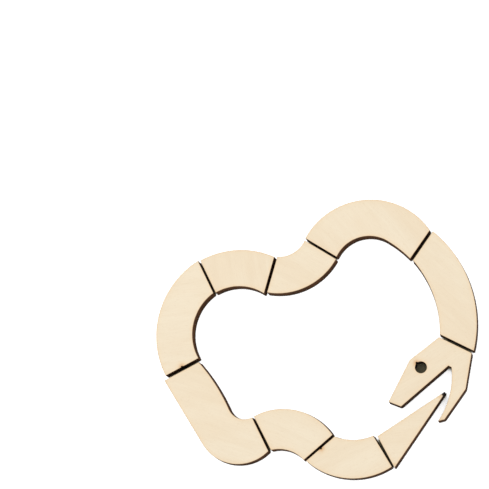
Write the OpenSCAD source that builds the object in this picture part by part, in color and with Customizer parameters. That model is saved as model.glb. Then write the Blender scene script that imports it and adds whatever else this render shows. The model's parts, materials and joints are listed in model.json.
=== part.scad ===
// Loose-piece snake: ten flat plywood pieces laid head to tail in an open ring.
// Every piece is cut square through one board and lies flat on z = 0.
// The ring lies in the X-Y plane, centred on the origin, with +Z up off the table.

/* [Board] */
// thickness of the plywood board that all the pieces are cut from
board_t = 4; // [2:0.1:5]
// width of the body across a piece
body_w = 12; // [11.4:0.1:12.2]

/* [Seams] */
// gap between the cut ends of neighbouring pieces where they lie closest
seam_gap = 0.7; // [0.6:0.05:1]
// extra gap at the loosest seam, between the flank arc and the belly elbow
loose_gap = 0.8; // [0.2:0.1:1.2]
// radius of the small nick that the cut leaves where it starts
nick_r = 0.3; // [0.1:0.05:0.4]

/* [Upper bends] */
// centre-line radius of the neck arc
neck_r = 32.9; // [32:0.1:34]
// angle the neck arc turns through
neck_a = 58.8; // [57:0.2:61]
// radius of the neck arc's inner edge, flatter than its outer edge
neck_low_r = 35.9; // [32:0.1:38]
// centre-line radius of the crest arc
crest_r = 17.2; // [16.6:0.1:17.8]
// angle the crest arc turns through
crest_a = 128.6; // [126:0.2:131]
// angle from the crest arc's start at which its inner edge goes from flat to round
crest_flat_a = 33.6; // [28:0.2:38]
// radius of the flat first stretch of the crest arc's inner edge
crest_flat_r = 37; // [30:0.5:45]
// centre-line radius of the crossover bend, which curves the other way
cross_r = 14.9; // [14.4:0.1:15.4]
// angle the crossover bend turns through
cross_a = 71.4; // [70:0.2:73]
// centre-line radius of the shoulder arc
shoulder_r = 21.2; // [20.6:0.1:21.8]
// angle the shoulder arc turns through
shoulder_a = 56.7; // [55.5:0.1:58]
// centre-line radius of the flank arc
flank_r = 22; // [21.4:0.1:22.6]
// angle the flank arc turns through
flank_a = 86.4; // [84:0.2:87]

/* [Belly elbow] */
// length of the straight leg, from its upper end to the middle of the inner corner
leg_len = 19.5; // [18:0.1:21]
// radius of the hollow inside corner
throat_r = 5.5; // [4.5:0.1:6]
// radius of the round outside corner
elbow_r = 13.6; // [13.2:0.1:14]
// how far the outside corner's centre lies beyond the inside corner's centre
elbow_lead = 4.1; // [3.8:0.1:4.4]
// how far the outer side stands off the body's half width
elbow_bulge = 0.8; // [0.4:0.1:1]
// radius of the slow curve along the inner side of the leg
belly_r = 62; // [55:1:80]
// how far the leg's inner side stands off the body's half width where it is fullest
belly_bulge = 0.65; // [0.4:0.05:0.9]
// where the leg's inner side is fullest, as a share of the leg's length
belly_full = 0.56; // [0.45:0.01:0.65]
// angle of the lower end cut, seen from the middle of the inner corner
elbow_end_a = 5.7; // [4:0.1:8]

/* [Lower bends] */
// radius of the hip bend's upper edge
hip_top_r = 19.4; // [19:0.1:20]
// radius of the hip bend's lower edge
hip_low_r = 10.6; // [10:0.1:13]
// width of the hip bend at its middle
hip_mid_w = 12.8; // [12.4:0.1:13.2]
// angle the hip bend turns through
hip_a = 86.3; // [85:0.1:88]
// centre-line radius of the rump arc
rump_r = 16.2; // [15.8:0.1:16.8]
// angle the rump arc turns through
rump_a = 72.2; // [71:0.2:74]
// radius of the rump arc's upper edge
rump_top_r = 15.4; // [13:0.1:16]

/* [Head] */
// width of the head at the neck cut
nape_w = 11.3; // [11:0.1:12]
// length from the neck cut to the front of the snout
head_len = 25.1; // [24.5:0.1:26]
// distance of the brow corner from the neck cut
brow_x = 10.5; // [9.5:0.1:11.5]
// distance of the brow corner and the snout's top from the head's middle line
brow_y = 10.6; // [10:0.1:11]
// depth of the blunt snout, measured across the head
snout_w = 4.2; // [3.8:0.1:5]
// how far the snout's lower corner lies behind its top
snout_slant = 0.4; // [0:0.1:0.8]
// distance of the chin corner from the neck cut
chin_x = 10.9; // [10:0.1:12]
// distance of the chin corner from the head's middle line
chin_y = 9; // [8.5:0.1:9.5]
// distance from the neck cut to the tip of the lower jaw
jaw_len = 23.6; // [23:0.1:24.5]
// distance of the jaw's tip from the head's middle line
jaw_y = 5.8; // [5.4:0.1:6.2]
// length of the slant that blunts the jaw's tip, measured along the head
jaw_slant_x = 1.4; // [1:0.1:2]
// width of the same slant, measured across the head
jaw_slant_y = 1.6; // [1.2:0.1:2]
// radius of the curved inner side of the lower jaw
jaw_r = 25.4; // [22:0.2:32]

/* [Mouth and eye] */
// distance from the neck cut to the back of the mouth
mouth_x = 6.8; // [6:0.1:7.5]
// distance of the back of the mouth from the head's middle line
mouth_y = 1; // [0.6:0.1:1.4]
// width of the blunt back end of the mouth
mouth_back_w = 1; // [0.6:0.1:1.4]
// distance of the eye's middle from the neck cut
eye_x = 11; // [10.5:0.1:12]
// distance of the eye's middle from the head's middle line
eye_y = 6.4; // [6:0.1:6.8]
// diameter of the eye hole
eye_d = 3.6; // [2:0.1:4]
// direction in which the nick lies beside the eye, measured from the neck cut's side
eye_nick_a = 70; // [50:1:90]

/* [Tail] */
// length of the tail measured square to its base
tail_len = 24.9; // [22:0.1:25]
// how far the tip leans over to the inner side
tail_lean = 7.6; // [7:0.1:9]
// width of the tail's base
tail_w = 11.1; // [10.5:0.1:12]
// width across the blunted tip
tip_w = 0.4; // [0.2:0.05:0.8]

/* [Hidden] */
$fn = 180;
wood = [0.94, 0.88, 0.77];
half_w = body_w / 2;

// slant of each end cut away from square, in degrees: start of the piece, then end
neck_cut = [-16.3, 7.6];
crest_cut = [31.1, -4.9];
cross_cut = [4.3, 6.2];
shoulder_cut = [13.2, -1.8];
flank_cut = [-6.8, -2.2];
leg_cut = -5.2;
hip_cut = [0.8, -8.6];
rump_cut = [-11.8, -3.1];

// how each piece starts, seen from the end of the piece before it:
// [gap beyond seam_gap, sideways slip, turn in degrees]
crest_step = [0.13, 1.08, -23.8];
cross_step = [0, 0.2, -0.5];
shoulder_step = [0.22, 0.24, -19];
flank_step = [-0.04, -0.31, 4.7];
leg_step = [loose_gap - 0.36, -0.32, 3];
hip_step = [0.02, 0, 1.8];
rump_step = [-0.09, 0.64, 19.6];
tail_step = [-0.02, -1.19, -5.7];

// the head faces back from the neck arc's start, so it turns about and keeps its gap behind
head_gap = 0.18;
head_turn = 163.8;

// A pose is [x, y, heading]. A bend to the left has r > 0 and a > 0, to the right both below 0.
function travel(p, r, a) = [
    p[0] + r * (sin(p[2] + a) - sin(p[2])),
    p[1] + r * (cos(p[2]) - cos(p[2] + a)),
    p[2] + a
];
function hop(p, along, slip, turn) = [
    p[0] + along * cos(p[2]) - slip * sin(p[2]),
    p[1] + along * sin(p[2]) + slip * cos(p[2]),
    p[2] + turn
];
function after(p, step) = hop(p, seam_gap + step[0], step[1], step[2]);

// belly elbow worked out in its own frame: leg along +X, bending to the left
outer_y = -half_w - elbow_bulge;
elbow_c = [leg_len + elbow_lead, outer_y + elbow_r];
belly_c = [leg_len * belly_full, half_w + belly_bulge - belly_r];
throat_rise = leg_len - belly_c[0];
throat_bite = 0.01;
throat_reach = belly_r + throat_r - throat_bite;
throat_c = [leg_len, belly_c[1] + sqrt(pow(throat_reach, 2) - pow(throat_rise, 2))];
throat_touch = belly_c + (throat_c - belly_c) * (belly_r - throat_bite / 2) / throat_reach;
elbow_out = [cos(-elbow_end_a), sin(-elbow_end_a)];
elbow_mid = throat_c + elbow_out * (throat_r + half_w);

// hip bend: the centre line its two ends are cut about
hip_r = hip_top_r - half_w;

// the chain of poses from the neck to the tail, each piece started from the one before
neck_p = [0, 0, 79.4];
head_p = hop(neck_p, -seam_gap - head_gap, 0, head_turn);
crest_p = after(travel(neck_p, neck_r, neck_a), crest_step);
cross_p = after(travel(crest_p, crest_r, crest_a), cross_step);
shoulder_p = after(travel(cross_p, -cross_r, -cross_a), shoulder_step);
flank_p = after(travel(shoulder_p, shoulder_r, shoulder_a), flank_step);
leg_p = after(travel(flank_p, flank_r, flank_a), leg_step);
leg_q = hop(leg_p, elbow_mid[0], elbow_mid[1], 90 - elbow_end_a);
hip_p = after(leg_q, hip_step);
rump_p = after(travel(hip_p, -hip_r, -hip_a), rump_step);
tail_p = after(travel(rump_p, rump_r, rump_a), tail_step);

// outermost points of the ring, then the shift that centres it on the origin
reach_e = neck_p[0] - neck_r * sin(neck_p[2]) + neck_r + half_w;
reach_w = flank_p[0] - flank_r * sin(flank_p[2]) - flank_r - half_w;
reach_n = crest_p[1] + crest_r * cos(crest_p[2]) + crest_r + half_w;
reach_s = rump_p[1] + rump_r * cos(rump_p[2]) - rump_r - half_w;
ring_mid = [(reach_e + reach_w) / 2, (reach_n + reach_s) / 2];

// stands a flat shape up to board thickness and lays it at its place in the ring
module lay(p) {
    translate([p[0] - ring_mid[0], p[1] - ring_mid[1], 0])
        rotate([0, 0, p[2]])
            linear_extrude(height = board_t)
                children();
}

// the two radii and the slanted end cuts of a bend to the left that starts at the origin along +X;
// low_r is the inner edge's radius and mid_w the width at the middle
module curved(r, a, cut, low_r, mid_w) {
    top_r = r + half_w;
    far = 1.6 * top_r;
    inside = 0.75 * body_w;
    end_pt = [r * sin(a), r - r * cos(a)];
    in_a = [-sin(cut[0]), cos(cut[0])];
    in_b = [-sin(a + cut[1]), cos(a + cut[1])];
    mid_dir = [sin(a / 2), -cos(a / 2)];
    low_c = [0, r] + mid_dir * (top_r - mid_w - low_r);
    intersection() {
        difference() {
            translate([0, r]) circle(top_r);
            translate(low_c) circle(low_r);
        }
        polygon([
            [0, r],
            in_a * inside,
            -in_a * body_w,
            [far * sin(a / 3), r - far * cos(a / 3)],
            [far * sin(a * 2 / 3), r - far * cos(a * 2 / 3)],
            end_pt - in_b * body_w,
            end_pt + in_b * inside
        ]);
    }
}

// a bend of even width
module bend(r, a, cut) {
    curved(r, a, cut, r - half_w, body_w);
}

module nick() {
    circle(nick_r, $fn = 24);
}

module head() {
    nape = [0, nape_w / 2];
    brow = [brow_x, -brow_y];
    snout_top = [head_len, -brow_y];
    snout_low = [head_len - snout_slant, -brow_y + snout_w];
    jaw_tip = [jaw_len, jaw_y];
    jaw_side = jaw_tip + [-jaw_slant_x, jaw_slant_y];
    chin = [chin_x, chin_y];
    color(wood)
        lay(head_p)
            difference() {
                polygon([-nape, brow, snout_top, snout_low, 2 * jaw_tip - jaw_side, jaw_side, chin, nape]);
                mouth(snout_low, jaw_tip);
                eye();
            }
}

// the wedge between the jaws: straight along the snout, curved along the lower jaw, and open at the front
module mouth(snout_low, jaw_tip) {
    lip = [mouth_x, mouth_y];
    jaw_root = lip + [0, mouth_back_w];
    span = jaw_tip - jaw_root;
    side = [span[1], -span[0]] / norm(span);
    jaw_c = (jaw_root + jaw_tip) / 2 + side * sqrt(pow(jaw_r, 2) - pow(norm(span) / 2, 2));
    ahead = 1.5;
    intersection() {
        translate(jaw_c) circle(jaw_r);
        polygon([
            lip,
            lip + (snout_low - lip) * ahead,
            jaw_root + span * ahead - side * body_w,
            lip + (jaw_root - lip) * 3
        ]);
    }
}

module eye() {
    nick_reach = eye_d / 2 + nick_r / 3;
    translate([eye_x, -eye_y]) {
        circle(d = eye_d);
        translate([-cos(eye_nick_a), -sin(eye_nick_a)] * nick_reach) nick();
    }
}

module neck_arc() {
    color(wood) lay(neck_p) curved(neck_r, neck_a, neck_cut, neck_low_r, body_w);
}

module crest_arc() {
    mid = [0, crest_r];
    out = [sin(crest_flat_a), -cos(crest_flat_a)];
    flat_c = mid + out * (crest_r - half_w - crest_flat_r);
    color(wood)
        lay(crest_p)
            difference() {
                bend(crest_r, crest_a, crest_cut);
                intersection() {
                    translate(flat_c) circle(crest_flat_r);
                    polygon([
                        mid,
                        mid + out * crest_r,
                        [0, -half_w],
                        [-body_w, 0],
                        [-body_w, crest_r]
                    ]);
                }
            }
}

module crossover_bend() {
    color(wood) lay(cross_p) mirror([0, 1]) bend(cross_r, cross_a, cross_cut);
}

module shoulder_arc() {
    color(wood) lay(shoulder_p) bend(shoulder_r, shoulder_a, shoulder_cut);
}

module flank_arc() {
    color(wood)
        lay(flank_p)
            difference() {
                bend(flank_r, flank_a, flank_cut);
                translate([flank_r * sin(flank_a), flank_r * (1 - cos(flank_a))]) nick();
            }
}

module belly_elbow() {
    leg_in = [-sin(leg_cut), cos(leg_cut)];
    back = -half_w;
    below = 2 * body_w;
    far = 3 * body_w;
    color(wood)
        lay(leg_p)
            difference() {
                intersection() {
                    union() {
                        translate(elbow_c) circle(elbow_r);
                        translate([back, outer_y]) square([elbow_c[0] - back, elbow_r + half_w]);
                    }
                    polygon([
                        leg_in * body_w,
                        throat_c,
                        throat_c + elbow_out * far,
                        [far, -below],
                        -leg_in * below
                    ]);
                }
                difference() {
                    polygon([[back, 0], throat_touch, throat_c, [back, below]]);
                    translate(belly_c) circle(belly_r, $fn = 360);
                }
                translate(throat_c) circle(throat_r);
            }
}

module hip_bend() {
    color(wood) lay(hip_p) mirror([0, 1]) curved(hip_r, hip_a, hip_cut, hip_low_r, hip_mid_w);
}

module rump_arc() {
    color(wood)
        lay(rump_p)
            difference() {
                curved(rump_r, rump_a, rump_cut, rump_top_r, body_w);
                nick();
            }
}

module tail() {
    color(wood)
        lay(tail_p)
            polygon([
                [0, tail_w / 2],
                [0, -tail_w / 2],
                [tail_len, tail_lean - tip_w],
                [tail_len, tail_lean]
            ]);
}

head();
neck_arc();
crest_arc();
crossover_bend();
shoulder_arc();
flank_arc();
belly_elbow();
hip_bend();
rump_arc();
tail();
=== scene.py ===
"""A loose-piece snake puzzle: ten flat pieces of laser-cut birch plywood, laid nose to tail in a ring.

Every piece is built on its CAD node's outline, with a laser-cut board's softened rims and ply lines.
Its surface records how far each point lies from the cut, because that is where the wood is scorched.
"""
import json
import math
import random
from collections import namedtuple

import bpy
from mathutils import Matrix, Vector, geometry, kdtree


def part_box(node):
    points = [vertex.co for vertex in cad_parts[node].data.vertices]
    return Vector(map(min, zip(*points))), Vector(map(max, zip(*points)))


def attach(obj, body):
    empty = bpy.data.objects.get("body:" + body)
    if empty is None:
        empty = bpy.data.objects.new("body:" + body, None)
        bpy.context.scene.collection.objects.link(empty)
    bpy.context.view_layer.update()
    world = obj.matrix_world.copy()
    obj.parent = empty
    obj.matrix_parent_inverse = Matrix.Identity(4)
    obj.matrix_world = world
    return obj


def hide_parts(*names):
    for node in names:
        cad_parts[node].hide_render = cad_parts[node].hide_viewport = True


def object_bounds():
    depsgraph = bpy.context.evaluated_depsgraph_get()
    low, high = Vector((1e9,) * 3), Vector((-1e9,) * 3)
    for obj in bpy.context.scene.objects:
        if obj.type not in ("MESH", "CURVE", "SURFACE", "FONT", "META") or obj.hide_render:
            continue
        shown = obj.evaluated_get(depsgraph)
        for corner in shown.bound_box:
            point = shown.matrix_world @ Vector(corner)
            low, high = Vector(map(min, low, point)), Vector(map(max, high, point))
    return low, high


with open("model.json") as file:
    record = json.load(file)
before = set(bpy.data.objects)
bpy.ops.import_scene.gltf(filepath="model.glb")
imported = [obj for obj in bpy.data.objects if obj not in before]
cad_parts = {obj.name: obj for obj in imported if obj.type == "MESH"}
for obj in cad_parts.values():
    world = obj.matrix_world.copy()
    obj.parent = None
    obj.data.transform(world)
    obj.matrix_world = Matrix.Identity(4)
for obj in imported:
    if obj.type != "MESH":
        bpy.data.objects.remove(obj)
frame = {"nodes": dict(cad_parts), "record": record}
cad_low, cad_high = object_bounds()

MM = 0.001

# The cut edge
FLAT = 0.99  # a CAD face whose normal rises more than this is part of the top
PLACE_DIGITS = 4  # CAD points count as one when they agree to this many decimals of a millimetre
CUT_STEP = 0.5 * MM  # least distance between new points along a cut
FINE_STEP = 0.1 * MM  # between points that the distance from a cut is measured to
LONGEST_FACET = 3 * MM  # a longer side of an outline is straight
CORNER = math.radians(20)  # an outline that turns more than this in one point has a corner there
ARRIS = 0.08 * MM  # radius of the rims after a light sanding
ARRIS_SIDES = 3
RIM = 1.5 * ARRIS  # how far into the wood the softened rim reaches
SANDED_BANDS = 2  # bands of each rim, counted from the face, that the sanding has cleaned of char
GLUE_LINES = (0.3, 0.7)  # how deep they lie, as shares of the board's thickness
GLUE_DEPTH = 0.03 * MM  # how far the beam has eaten into a glue line
GLUE_HALF = 0.05 * MM  # half the height of a glue line
BEAM_TAPER = 0.03 * MM  # how much wider the cut is where the beam went in
SMOOTH_TURN = math.radians(40)  # faces that meet at a greater angle than this show an edge

# The faces
FACE_STEP = 0.8 * MM  # between points inside a face
FACE_CLEAR = 0.45 * MM  # from those points to the rim
ENCLOSED = 1  # asks the triangulation for what the outlines enclose
TOLERANCE = 1e-6  # points nearer than this in millimetres count as one to the triangulation

# The burns
NICK_SIDE = 0.2 * MM  # sides shorter than this belong to the nicks where the beam started
NICK_BURN = 1.3 * MM  # how far the burn round a nick spreads
TIP_SIDE = 0.6 * MM  # a side shorter than this between two corners is a tip, which is charred through
TIP_CHAR = 1.3 * MM  # how far the char spreads from a tip

FACE_SLOT, EDGE_SLOT = 0, 1  # a piece's two materials

# The grain, which runs its own way in each piece
SEED = 7
GRAIN_SPREAD = 400.0  # millimetres of the pattern along each axis that the pieces are drawn from


# --- Outlines -------------------------------------------------------------------------------------


def outlines(node):
    """The node's outlines from above, each a closed list of points with the wood on its left."""
    mesh = frame["nodes"][node].data
    places, sides = {}, []
    for face in mesh.polygons:
        if face.normal.z > FLAT:
            ring = []
            for i in face.vertices:
                point = mesh.vertices[i].co.xy
                ring.append((round(point.x / MM, PLACE_DIGITS), round(point.y / MM, PLACE_DIGITS)))
                places[ring[-1]] = point.copy()
            sides += zip(ring, ring[1:] + ring[:1])
    shared = set(sides)
    ahead = {a: b for a, b in sides if (b, a) not in shared}
    loops = []
    while ahead:
        start = min(ahead)
        loop, here = [], start
        while not loop or here != start:
            loop.append(places[here])
            here = ahead.pop(here)
        loops.append(loop)
    return loops


def round_tangent(before, here, after):
    """The direction at the middle point of the circle through three points."""
    a, b = here - before, after - here
    return (a / a.length_squared + b / b.length_squared).normalized()


def turn(before, here, after):
    return abs((here - before).angle_signed(after - here))


def along_cut(loop, step):
    """The outline with points a step or more apart: round stretches follow circles, and corners stay."""
    n = len(loop)
    around = [(loop[i - 1], loop[i], loop[(i + 1) % n]) for i in range(n)]
    sharp = [turn(*three) > CORNER for three in around]
    tangents = [round_tangent(*three) for three in around]
    points = []
    for i in range(n):
        j = (i + 1) % n
        a, b = loop[i], loop[j]
        chord = b - a
        straight = chord.length > LONGEST_FACET or (sharp[i] and sharp[j])
        u, v = tangents[i], tangents[j]
        way = chord.normalized()
        if sharp[i]:
            u = 2 * v.dot(way) * way - v
        if sharp[j]:
            v = 2 * u.dot(way) * way - u
        if straight:
            u = v = way
        count = max(1, int(chord.length / step))
        for k in range(count):
            points.append(hermite(a, b, u * chord.length, v * chord.length, k / count))
    return points


def hermite(a, b, u, v, t):
    """The point at t on the cubic from a, leaving along u, to b, arriving along v."""
    s = 1 - t
    return a * (s * s * (1 + 2 * t)) + b * (t * t * (3 - 2 * t)) + u * (t * s * s) - v * (t * t * s)


def inset(loop, depth):
    """The outline moved into the wood."""
    n = len(loop)
    moved = []
    for i in range(n):
        before = (loop[i] - loop[i - 1]).normalized()
        after = (loop[(i + 1) % n] - loop[i]).normalized()
        inward = Vector((-before.y - after.y, before.x + after.x))
        moved.append(loop[i] + inward * depth / (1 + before.dot(after)))
    return moved


def area(loop):
    """The area inside the outline, below 0 for a hole's outline."""
    return sum(a.cross(b) for a, b in zip(loop, loop[1:] + loop[:1])) / 2


def inside(point, loops):
    """True if an odd number of the loops go round the point."""
    crossings = 0
    for loop in loops:
        for a, b in zip(loop, loop[1:] + loop[:1]):
            if (a.y > point.y) != (b.y > point.y):
                crossings += point.x < a.x + (b.x - a.x) * (point.y - a.y) / (b.y - a.y)
    return crossings % 2 == 1


def tree_of(points):
    tree = kdtree.KDTree(len(points))
    for i, point in enumerate(points):
        tree.insert(point.to_3d(), i)
    tree.balance()
    return tree


# --- Pieces ---------------------------------------------------------------------------------------


def edge_profile(thickness):
    """The rings of a cut edge, from the top face to the bottom: how far into the wood, and how high."""
    rim = [(RIM, 0.0)]
    for k in range(ARRIS_SIDES + 1):
        a = math.radians(90) * k / ARRIS_SIDES
        rim.append((ARRIS * (1 - math.sin(a)), ARRIS * (1 - math.cos(a))))
    rings = [(inward, thickness - drop) for inward, drop in rim]
    for share in GLUE_LINES:
        middle = thickness * (1 - share)
        rings += [(0.0, middle + GLUE_HALF), (GLUE_DEPTH, middle), (0.0, middle - GLUE_HALF)]
    rings += [(inward, drop) for inward, drop in reversed(rim)]
    return [(inward + BEAM_TAPER * max(z, 0) / thickness, z) for inward, z in rings]


def face_mesh(rim_loops):
    """An even spread of points inside a face, and triangles that fill it over those and its rim points."""
    rim = [point for loop in rim_loops for point in loop]
    near = tree_of(rim)
    low = Vector((min(p.x for p in rim), min(p.y for p in rim)))
    high = Vector((max(p.x for p in rim), max(p.y for p in rim)))
    row_step = FACE_STEP * math.sqrt(3) / 2
    inner = []
    for row in range(int((high.y - low.y) / row_step) + 1):
        for column in range(int((high.x - low.x) / FACE_STEP) + 1):
            point = Vector((low.x + (column + row % 2 / 2) * FACE_STEP, low.y + row * row_step))
            if near.find(point.to_3d())[2] > FACE_CLEAR and inside(point, rim_loops):
                inner.append(point)
    sides, start = [], 0
    for loop in rim_loops:
        sides += [(start + i, start + (i + 1) % len(loop)) for i in range(len(loop))]
        start += len(loop)
    points = [p / MM for p in rim + inner]
    made, _, faces, sources, _, _ = geometry.delaunay_2d_cdt(points, sides, [], ENCLOSED, TOLERANCE)
    holes = [loop for loop in rim_loops if area(loop) < 0]
    triangles = []
    for face in faces:
        middle = sum((made[i] for i in face), Vector((0, 0))) / len(face) * MM
        if not inside(middle, holes):
            triangles.append([sources[i][0] for i in face])
    return inner, triangles


def nicks(loops):
    """The points of the small nicks where the beam started, which are scorched the most."""
    found = []
    for loop in loops:
        found += [b for a, b in zip(loop, loop[1:] + loop[:1]) if (b - a).length < NICK_SIDE]
    return found


def tips(loops):
    """The points of the sharp tips, which are charred right through."""
    found = []
    for loop in loops:
        n = len(loop)
        sharp = [turn(loop[i - 1], loop[i], loop[(i + 1) % n]) > CORNER for i in range(n)]
        for i in range(n):
            if sharp[i - 1] and sharp[i] and (loop[i] - loop[i - 1]).length < TIP_SIDE:
                found += [loop[i - 1], loop[i]]
    return found


def nearness(points, sources, reach):
    """For each point, 1 at a source and falling to nothing past the reach."""
    if not sources:
        return [0.0] * len(points)
    tree = tree_of(sources)
    return [math.exp(-((tree.find((p.x, p.y, 0))[2] / reach) ** 2)) for p in points]


def raised(points, z):
    return [point.to_3d() + Vector((0, 0, z)) for point in points]


def wall_bands(loops, count, ring_size):
    """The faces of so many bands, each between one ring of a cut edge and the next, and their slots."""
    faces, slots = [], []
    first = 0
    for loop in loops:
        for band in range(count):
            sanded = min(band, count - 1 - band) < SANDED_BANDS
            upper, lower = band * ring_size, (band + 1) * ring_size
            for i in range(len(loop)):
                a, b = first + i, first + (i + 1) % len(loop)
                faces.append((upper + a, lower + a, lower + b, upper + b))
                slots.append(FACE_SLOT if sanded else EDGE_SLOT)
        first += len(loop)
    return faces, slots


def piece_mesh(node, grain):
    """The piece's mesh, whose points record their place in the grain, how near the cut is and the burns."""
    low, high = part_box(node)
    cad_loops = outlines(node)
    loops = [along_cut(loop, CUT_STEP) for loop in cad_loops]
    ring_size = sum(len(loop) for loop in loops)
    rings = edge_profile(high.z - low.z)
    points, cuts = [], []
    for inward, z in rings:
        for loop in loops:
            points += raised(inset(loop, inward), low.z + z)
        cuts += [inward / MM] * ring_size
    faces, slots = wall_bands(loops, len(rings) - 1, ring_size)

    cut_tree = tree_of([point for loop in cad_loops for point in along_cut(loop, FINE_STEP)])
    last_ring = (len(rings) - 1) * ring_size
    for start, (inward, z), underside in ((0, rings[0], False), (last_ring, rings[-1], True)):
        inner, triangles = face_mesh([inset(loop, inward) for loop in loops])
        base = len(points) - ring_size
        points += raised(inner, low.z + z)
        cuts += [cut_tree.find(point.to_3d())[2] / MM for point in inner]
        for triangle in triangles:
            corners = [i + (start if i < ring_size else base) for i in triangle]
            faces.append(corners[::-1] if underside else corners)
            slots.append(FACE_SLOT)

    mesh = bpy.data.meshes.new(node)
    mesh.from_pydata(points, [], faces)
    mesh.polygons.foreach_set("material_index", slots)
    mesh.shade_smooth()
    mesh.set_sharp_from_angle(angle=SMOOTH_TURN)
    record_values(mesh, "cut", cuts)
    record_values(mesh, "burn", nearness(points, nicks(cad_loops), NICK_BURN))
    record_values(mesh, "char", nearness(points, tips(cad_loops), TIP_CHAR))
    places = mesh.attributes.new("grain", "FLOAT_VECTOR", "POINT")
    places.data.foreach_set("vector", [x for point in points for x in grain @ (point / MM)])
    mesh.validate()
    return mesh


def record_values(mesh, name, values):
    mesh.attributes.new(name, "FLOAT", "POINT").data.foreach_set("value", values)


# --- Materials ------------------------------------------------------------------------------------


class Surface:
    """A material being made: each method adds nodes and returns the socket that carries their result."""

    def __init__(self, name, specular):
        self.material = bpy.data.materials.new(name)
        self.material.use_nodes = True
        self.tree = self.material.node_tree
        self.shader = self.tree.nodes["Principled BSDF"]
        self.shader.inputs["Specular IOR Level"].default_value = specular

    def add(self, kind, inputs, **settings):
        made = self.tree.nodes.new("ShaderNode" + kind)
        for name, value in settings.items():
            setattr(made, name, value)
        for key, value in inputs.items():
            self.fill(made.inputs[key], value)
        return made

    def fill(self, socket, value):
        if isinstance(value, bpy.types.NodeSocket):
            self.tree.links.new(value, socket)
        else:
            socket.default_value = value

    def stored(self, name, output="Fac"):
        return self.add("Attribute", {}, attribute_name=name).outputs[output]

    def noise(self, place, pattern):
        """Noise of mean 0.5 in the pattern."""
        stretched = self.add("VectorMath", {0: place, 1: pattern.cycles}, operation="MULTIPLY").outputs[0]
        inputs = {
            "Vector": stretched,
            "Scale": 1,
            "Detail": pattern.detail,
            "Roughness": pattern.roughness,
            "Distortion": pattern.distortion,
        }
        return self.add("TexNoise", inputs).outputs[0]

    def maths(self, operation, *values):
        return self.add("Math", dict(enumerate(values)), operation=operation).outputs[0]

    def times(self, a, b):
        return self.maths("MULTIPLY", a, b)

    def remap(self, value, band, low=0.0, high=1.0):
        """Low up to the band's first end, high past its second, and in a straight line between."""
        return self.add("MapRange", {0: value, 1: band[0], 2: band[1], 3: low, 4: high}).outputs[0]

    def mix(self, factor, a, b):
        return self.add("Mix", {0: factor, 6: a, 7: b}, data_type="RGBA").outputs[2]

    def faded(self, distance, reach):
        """1 where the distance is 0, falling to nothing over a few times the reach."""
        return self.maths("EXPONENT", self.times(distance, -1 / reach))

    def open_share(self, reach, rays):
        """The share of the sky over a point that nothing within reach hides."""
        return self.add("AmbientOcclusion", {"Distance": reach}, samples=rays).outputs["AO"]

    def roughen(self, height, strength, distance):
        bump = self.add("Bump", {"Height": height, "Strength": strength, "Distance": distance})
        self.fill(self.shader.inputs["Normal"], bump.outputs[0])


BIRCH_PALE = (0.825, 0.722, 0.556, 1)
BIRCH_WARM = (0.808, 0.687, 0.512, 1)
BIRCH_DARK = (0.690, 0.545, 0.370, 1)
PORE = (0.58, 0.42, 0.26, 1)
TOASTED = (0.83, 0.55, 0.27, 1)
NICK_BROWN = (0.50, 0.24, 0.085, 1)
SCORCHED = (0.20, 0.095, 0.04, 1)
CHAR_BROWN = (0.150, 0.060, 0.020, 1)
CHAR_DARK = (0.040, 0.016, 0.006, 1)
CHAR_BLACK = (0.006, 0.0035, 0.002, 1)
GLUE_BLACK = (0.005, 0.004, 0.003, 1)

Pattern = namedtuple("Pattern", "cycles detail roughness distortion", defaults=(3.0, 0.5, 0.0))

# Patterns on a face, in cycles per millimetre along the grain and across it
BLOTCHES = Pattern((0.05, 0.13, 0.13), detail=2.0)
FIGURE = Pattern((0.035, 0.45, 0.45), roughness=0.55, distortion=0.6)
FIBRES = Pattern((0.22, 4.5, 4.5), detail=4.0, roughness=0.6)
HAIRS = Pattern((1.1, 16.0, 16.0), detail=2.0, roughness=0.6)
PORES = Pattern((0.9, 8.0, 8.0), detail=1.0, roughness=0.4)
SCORCH_PATCHES = Pattern((0.9, 1.4, 1.4), roughness=0.6)

# Patterns on a cut edge, in cycles per millimetre along the grain, across it and upright
BEAM_STREAKS = Pattern((5.5, 5.5, 0.25), roughness=0.65)
SOOT_CLOUDS = Pattern((0.35, 0.35, 0.12), detail=2.0)
FACE_PLY = Pattern((0.5, 7.0, 9.0), roughness=0.6)
CORE_PLY = Pattern((7.0, 0.5, 9.0), roughness=0.6)

# Bands of a noise's values, from where a feature starts to show to where it shows in full
MOST = (0.3, 0.7)  # nearly all the values
BLOTCH_BAND = (0.35, 0.65)
FIGURE_BAND = (0.42, 0.75)
FIBRE_BAND = (0.45, 0.80)
HAIR_BAND = (0.30, 0.75)
PORE_BAND = (0.66, 0.74)
SOOT_BAND = (0.35, 0.65)
HEAT_BAND = (0.72, 1.38)  # of two noises added up
LOOSE_FIBRE_BAND = (0.3, 0.6)

# How much of its colour each feature lends, where it shows in full
FIGURE_SHARE = 0.20
FIBRE_SHARE = 0.26
HAIR_SHARE = 0.15
PORE_SHARE = 0.34
TOAST_SHARE = 0.60
NICK_TOAST_SHARE = 0.45
NICK_SHARE = 0.6
CORE_SHARE = 0.45
SOOT_SHARE = 0.4
FOOT_SHARE = 0.5
RIM_SHARE = 0.45
NICK_CHAR_SHARE = 0.8

# The burns on a face, in millimetres from the cut
TOAST_REACH = 0.42
SCORCH_REACH = 0.06
SCORCH_LEAST, SCORCH_MOST = 0.35, 1.25  # how uneven they are along the cut
NICK_CORE = 3.0  # power that draws a nick's brown spot closer round it than its toasting
CHAR_BAND = (0.22, 0.50)  # of the recorded char, from clean wood to black
CHAR_FRINGE = 0.10  # how far the fibres carry the char's edge to and fro, on the same scale

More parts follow.
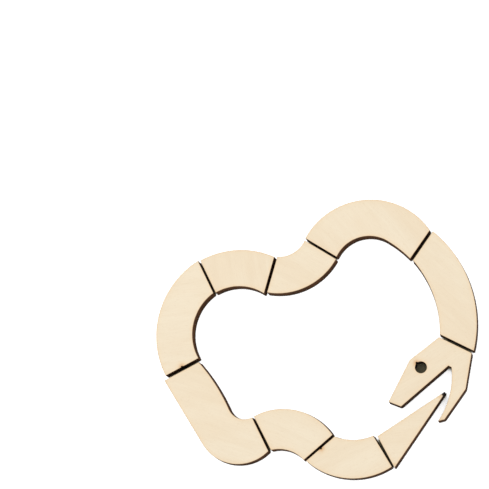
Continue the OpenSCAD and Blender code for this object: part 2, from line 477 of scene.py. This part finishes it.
# The plies of a cut edge, in millimetres
GLUE_WAVE = 0.05  # how far a glue line wanders up or down
GLUE_BAND = (0.04, 0.11)  # from a glue line's middle, black to clear
PLY_BLEND = 0.05  # height over which one ply's fibres give way to the next one's
RIM_HEIGHT = 0.35  # depth of the browner wood under the upper rim
DARK_SHARE = 0.55  # lower share of the edge, which darkens towards the foot

# The surfaces' roughness and relief
FACE_ROUGHNESS = (0.58, 0.74)
EDGE_ROUGHNESS = (0.80, 0.95)
FACE_RELIEF, FACE_RELIEF_STRENGTH = 0.04 * MM, 0.35
EDGE_RELIEF, EDGE_RELIEF_STRENGTH = 0.06 * MM, 0.6
HAIR_RELIEF, PORE_RELIEF = 0.6, 0.5  # how high hairs stand and deep pores go, with a face's fibres at 1
BEAM_RELIEF, PLY_RELIEF = 0.8, 0.5  # how high the beam's marks and the plies' fibres stand on an edge


def birch_face():
    """Rotary-cut birch veneer, sanded but not finished, toasted near the cuts."""
    s = Surface("birch_face", specular=0.25)
    grain, cut, burn = s.stored("grain", "Vector"), s.stored("cut"), s.stored("burn")
    fibres = s.noise(grain, FIBRES)
    hairs = s.noise(grain, HAIRS)
    pores = s.remap(s.noise(grain, PORES), PORE_BAND)

    colour = s.mix(s.remap(s.noise(grain, BLOTCHES), BLOTCH_BAND), BIRCH_PALE, BIRCH_WARM)
    colour = s.mix(s.remap(s.noise(grain, FIGURE), FIGURE_BAND, high=FIGURE_SHARE), colour, BIRCH_DARK)
    colour = s.mix(s.remap(fibres, FIBRE_BAND, high=FIBRE_SHARE), colour, BIRCH_DARK)
    colour = s.mix(s.remap(hairs, HAIR_BAND, high=HAIR_SHARE), colour, BIRCH_DARK)
    colour = s.mix(s.times(pores, PORE_SHARE), colour, PORE)

    uneven = s.remap(s.noise(grain, SCORCH_PATCHES), MOST, SCORCH_LEAST, SCORCH_MOST)
    colour = s.mix(s.times(s.faded(cut, TOAST_REACH), s.times(uneven, TOAST_SHARE)), colour, TOASTED)
    colour = s.mix(s.times(burn, s.times(uneven, NICK_TOAST_SHARE)), colour, TOASTED)
    colour = s.mix(s.times(s.maths("POWER", burn, NICK_CORE), NICK_SHARE), colour, NICK_BROWN)
    colour = s.mix(s.times(s.faded(cut, SCORCH_REACH), uneven), colour, SCORCHED)
    ragged = s.maths("ADD", s.stored("char"), s.remap(fibres, MOST, -CHAR_FRINGE, CHAR_FRINGE))
    colour = s.mix(s.remap(ragged, CHAR_BAND), colour, CHAR_BLACK)
    s.fill(s.shader.inputs["Base Color"], colour)

    s.fill(s.shader.inputs["Roughness"], s.remap(fibres, MOST, *FACE_ROUGHNESS))
    relief = s.maths("ADD", fibres, s.times(hairs, HAIR_RELIEF))
    relief = s.maths("SUBTRACT", relief, s.times(pores, PORE_RELIEF))
    s.roughen(relief, FACE_RELIEF_STRENGTH, FACE_RELIEF)
    return s.material


def charred_edge():
    """The cut edge: burnt plies with glue lines and beam marks, browner near the top than at the foot."""
    s = Surface("charred_edge", specular=0.03)
    grain, burn = s.stored("grain", "Vector"), s.stored("burn")
    height = s.add("SeparateXYZ", {0: grain}).outputs[2]
    thickness = (cad_high.z - cad_low.z) / MM
    upper_glue, lower_glue = [thickness * (1 - share) for share in GLUE_LINES]
    beam = s.noise(grain, BEAM_STREAKS)
    soot = s.noise(grain, SOOT_CLOUDS)

    level = s.maths("ADD", height, s.remap(soot, MOST, -GLUE_WAVE, GLUE_WAVE))
    from_upper = s.maths("ABSOLUTE", s.maths("SUBTRACT", level, upper_glue))
    from_lower = s.maths("ABSOLUTE", s.maths("SUBTRACT", level, lower_glue))
    glue = s.remap(s.maths("MINIMUM", from_upper, from_lower), GLUE_BAND, 1.0, 0.0)
    above_lower = s.remap(level, (lower_glue, lower_glue + PLY_BLEND))
    below_upper = s.remap(level, (upper_glue - PLY_BLEND, upper_glue), 1.0, 0.0)
    core = s.times(above_lower, below_upper)
    plies = {0: core, 2: s.noise(grain, FACE_PLY), 3: s.noise(grain, CORE_PLY)}
    fibres = s.add("Mix", plies, data_type="FLOAT").outputs[0]

    heat = s.remap(s.maths("ADD", beam, fibres), HEAT_BAND)
    colour = s.mix(heat, CHAR_DARK, CHAR_BROWN)
    colour = s.mix(s.times(core, CORE_SHARE), colour, CHAR_DARK)
    colour = s.mix(s.remap(soot, SOOT_BAND, high=SOOT_SHARE), colour, CHAR_BLACK)
    colour = s.mix(s.remap(height, (thickness * DARK_SHARE, 0.0), high=FOOT_SHARE), colour, CHAR_BLACK)
    rim = s.remap(height, (thickness - RIM_HEIGHT, thickness), high=RIM_SHARE)
    colour = s.mix(s.times(rim, s.remap(fibres, LOOSE_FIBRE_BAND)), colour, SCORCHED)
    colour = s.mix(glue, colour, GLUE_BLACK)
    black = s.maths("MAXIMUM", s.times(burn, NICK_CHAR_SHARE), s.stored("char"))
    s.fill(s.shader.inputs["Base Color"], s.mix(black, colour, CHAR_BLACK))

    s.fill(s.shader.inputs["Roughness"], s.remap(heat, (0.0, 1.0), *EDGE_ROUGHNESS))
    relief = s.maths("ADD", s.times(beam, BEAM_RELIEF), s.times(fibres, PLY_RELIEF))
    s.roughen(relief, EDGE_RELIEF_STRENGTH, EDGE_RELIEF)
    return s.material


PAPER = (0.93, 0.93, 0.93, 1)
PAPER_TOOTH = (0.95, 0.95, 0.95, 1)
TOOTH = Pattern((900.0, 900.0, 900.0), roughness=0.6)  # in cycles per metre
TABLE_ROUGHNESS = 0.95
GLOW = 0.7  # strength of the table's painted glow, which washes out the pieces' shadows on it
WIDE_SHADE = (0.310, 0.285, 0.180, 1)  # painted shade, in a gap as wide as the eye
NARROW_SHADE = (0.050, 0.042, 0.028, 1)  # painted shade, in a seam, and as a painted contact shadow at a piece's foot
GAP_REACH = 5 * MM  # a wall within this reach helps to close a gap
GAP_RAYS = 48
GAP_BAND = (0.23, 0.28)  # open shares of the sky over the table, down in a gap and just outside one
WIDTH_BAND = (0.10, 0.17)  # open shares down in a seam and in the eye
FOOT_REACH = 0.42 * MM  # the table is painted with contact shadow this near to a piece's foot
FOOT_RAYS = 8
FOOT_BAND = (0.68, 0.86)  # open shares at the foot and a little way off


def studio_floor():
    """A pale matt table with a painted glow that washes out the pieces' shadows, and painted shade instead
    of glow in the gaps and at the pieces' feet.
    """
    s = Surface("pale_table", specular=0.05)
    sky = s.open_share(GAP_REACH, GAP_RAYS)
    # painted shade: masks of where the pieces would shade the table, down in the gaps and at their feet,
    # which take a dark table colour
    gap = s.remap(sky, GAP_BAND, 1.0, 0.0)
    foot = s.remap(s.open_share(FOOT_REACH, FOOT_RAYS), FOOT_BAND, 1.0, 0.0)
    painted_shade = s.mix(s.times(gap, s.remap(sky, WIDTH_BAND)), NARROW_SHADE, WIDE_SHADE)
    painted_shade_mask = s.maths("MAXIMUM", gap, foot)
    tooth = s.noise(s.add("TexCoord", {}).outputs["Object"], TOOTH)
    paper = s.mix(s.remap(tooth, MOST), PAPER, PAPER_TOOTH)
    s.fill(s.shader.inputs["Base Color"], s.mix(painted_shade_mask, paper, painted_shade))
    # painted light: the table glows everywhere except in its painted shade, so no cast shadow shows on it
    s.fill(s.shader.inputs["Emission Color"], PAPER)
    s.fill(s.shader.inputs["Emission Strength"], s.times(s.maths("SUBTRACT", 1.0, painted_shade_mask), GLOW))
    s.shader.inputs["Roughness"].default_value = TABLE_ROUGHNESS
    return s.material


# --- Studio ---------------------------------------------------------------------------------------


CAMERA_LEAN = 17  # degrees off the vertical
CAMERA_SIDE = -47.7  # degrees from +X towards +Y, the side that it leans to
CAMERA_AIM = (0.277, 0.8437, 1)  # the view's centre, in shares of the CAD box
CAMERA_DISTANCE = 0.5355  # from there, in metres
LENS = 122.2  # millimetres, on a 36 mm wide sensor
NEAREST, FARTHEST = 0.05, 20  # what the camera sees, in metres
TENT = 1.0  # strength of the white all round
FLOOR_REACH = 4.0  # metres from the middle to each side


def bounds_point(x, y, z):
    """The point at these shares of the CAD box."""
    size = cad_high - cad_low
    return cad_low + Vector((size.x * x, size.y * y, size.z * z))


def place_camera():
    """Looks down on the ring, which lies in the lower right of the view."""
    lean, towards = math.radians(CAMERA_LEAN), math.radians(CAMERA_SIDE)
    away = Vector((math.sin(lean) * math.cos(towards), math.sin(lean) * math.sin(towards), math.cos(lean)))
    camera = bpy.data.objects.new("camera", bpy.data.cameras.new("camera"))
    camera.data.lens = LENS
    camera.data.clip_start, camera.data.clip_end = NEAREST, FARTHEST
    camera.rotation_mode = "QUATERNION"
    camera.rotation_quaternion = Vector((0, 0, 1)).rotation_difference(away)
    camera.location = bounds_point(*CAMERA_AIM) + away * CAMERA_DISTANCE
    bpy.context.scene.collection.objects.link(camera)
    bpy.context.scene.camera = camera


def area_light(name, azimuth, elevation, distance, size, power):
    """A square softbox that faces the middle of the ring, azimuth measured from +X towards +Y."""
    middle = bounds_point(0.5, 0.5, 0)
    a, e = math.radians(azimuth), math.radians(elevation)
    away = Vector((math.cos(e) * math.cos(a), math.cos(e) * math.sin(a), math.sin(e)))
    data = bpy.data.lights.new(name, "AREA")
    data.size, data.energy = size, power
    light = bpy.data.objects.new(name, data)
    light.location = middle + away * distance
    light.rotation_mode = "QUATERNION"
    light.rotation_quaternion = away.to_track_quat("Z", "Y")
    bpy.context.scene.collection.objects.link(light)


def build_studio():
    """A pale table in a white light tent, with one soft key light from the upper left."""
    scene = bpy.context.scene
    scene.view_settings.view_transform = "Standard"
    scene.world = bpy.data.worlds.new("tent")
    scene.world.use_nodes = True
    background = scene.world.node_tree.nodes["Background"]
    background.inputs["Color"].default_value = (1, 1, 1, 1)
    background.inputs["Strength"].default_value = TENT
    area_light("key", azimuth=135, elevation=50, distance=0.7, size=0.6, power=0.95)

    floor_mesh = bpy.data.meshes.new("floor")
    corners = [(-1, -1), (1, -1), (1, 1), (-1, 1)]
    points = [(x * FLOOR_REACH, y * FLOOR_REACH, cad_low.z) for x, y in corners]
    floor_mesh.from_pydata(points, [], [(0, 1, 2, 3)])
    floor_mesh.materials.append(studio_floor())
    floor = bpy.data.objects.new("floor", floor_mesh)
    scene.collection.objects.link(floor)


# --- The puzzle -----------------------------------------------------------------------------------


def build_piece(node, body, materials):
    """The finished piece that stands for a CAD node. Each is cut at its own angle to the grain."""
    draw = random.Random(f"{SEED} {node}")
    angle = draw.uniform(-math.pi, math.pi)
    shift = Vector((draw.uniform(0, GRAIN_SPREAD), draw.uniform(0, GRAIN_SPREAD), 0))
    grain = Matrix.Translation(shift) @ Matrix.Rotation(angle, 4, "Z")
    piece = bpy.data.objects.new(node + "_ply", piece_mesh(node, grain))
    for material in materials:
        piece.data.materials.append(material)
    bpy.context.scene.collection.objects.link(piece)
    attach(piece, body)
    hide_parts(node)


def build_puzzle():
    materials = [birch_face(), charred_edge()]
    for body, nodes in sorted(frame["record"]["behaviour"]["bodies"].items()):
        for node in nodes:
            build_piece(node, body, materials)


place_camera()
build_studio()
build_puzzle()
